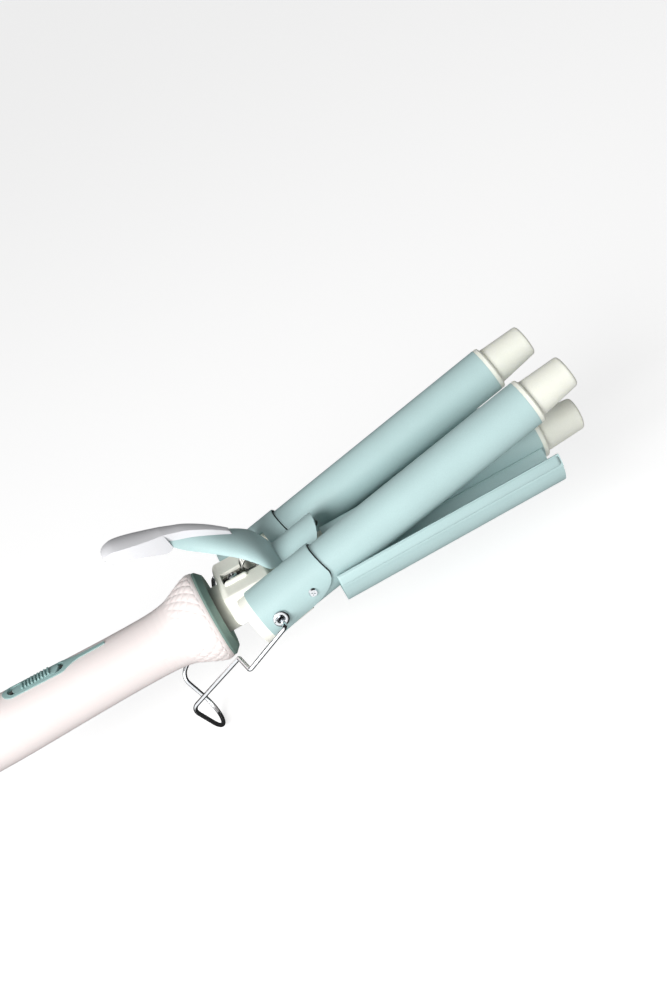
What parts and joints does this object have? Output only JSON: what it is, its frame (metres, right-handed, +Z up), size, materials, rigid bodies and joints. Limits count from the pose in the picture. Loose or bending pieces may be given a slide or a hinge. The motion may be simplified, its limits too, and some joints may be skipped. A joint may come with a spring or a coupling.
{
  "type": "hair waver",
  "caption": "Three-barrel hair waver with a thumb lever, hair troughs under the sprung upper jaw, a flared handle with a slide switch and a folding wire stand.",
  "frame": {"origin": "bottom centre of the bounding box, under the stand's foot as the part is stored", "axes": "+X from the cord end of the handle to the barrel tips, +Y to the far side along the jaw hinge, +Z up, on the lever's side"},
  "size_m": [0.374, 0.1032, 0.1221],
  "materials": {
    "handle_plastic": "satin",
    "ring_plastic": "satin",
    "panel_plastic": "satin",
    "black_plastic": "matt",
    "board": "matt",
    "steel": "satin",
    "spring_steel": "dark oxide",
    "chrome": "polished",
    "aluminium": "extruded",
    "barrel_paint": "satin pearl",
    "tip_plastic": "satin",
    "neck_plastic": "satin",
    "pad_plastic": "satin"
  },
  "bodies": {
    "handle": {"handle_shell_upper": "handle_plastic", "handle_shell_lower": "handle_plastic", "cord_gland": "handle_plastic", "flare_ring": "ring_plastic", "control_panel": "panel_plastic", "switch_body": "black_plastic", "circuit_board": "board", "handle_screws": "steel", "neck_block": "neck_plastic", "spring_bracket": "spring_steel", "bracket_screw": "steel", "torsion_spring": "spring_steel", "hinge_eyelet_near": "chrome", "hinge_eyelet_far": "chrome", "lower_barrel": "barrel_paint", "lower_tip": "tip_plastic", "lower_heater": "aluminium", "trough_near": "barrel_paint", "trough_far": "barrel_paint", "trough_rivets": "steel"},
    "upper_jaw": {"barrel_near": "barrel_paint", "barrel_far": "barrel_paint", "tip_near": "tip_plastic", "tip_far": "tip_plastic", "heater_near": "aluminium", "heater_far": "aluminium", "insert_near": "neck_plastic", "insert_far": "neck_plastic", "shroud_near": "barrel_paint", "shroud_far": "barrel_paint", "shroud_screws": "chrome", "lever": "barrel_paint", "thumb_pad": "pad_plastic"},
    "stand": {"wire_stand": "chrome"},
    "slide_knob": {"slide_knob": "panel_plastic"}
  },
  "joints": [
    {"name": "jaw_hinge", "type": "hinge", "parent": "handle", "child": "upper_jaw", "pos_m": [0.003, 0, 0.06218], "axis": [0, -1, 0], "range_deg": [-11.2, 20], "stiffness_Nm_per_rad": 0.6, "springref_deg": -41.25, "deforming": ["torsion_spring"]},
    {"name": "stand_hinge", "type": "hinge", "parent": "handle", "child": "stand", "pos_m": [0.003, 0, 0.06218], "axis": [0, -1, 0], "range_deg": [-25, 119]},
    {"name": "switch_slide", "type": "slide", "parent": "handle", "child": "slide_knob", "axis": [1, 0, 0], "range_m": [-0.0025, 0.0025]}
  ]
}
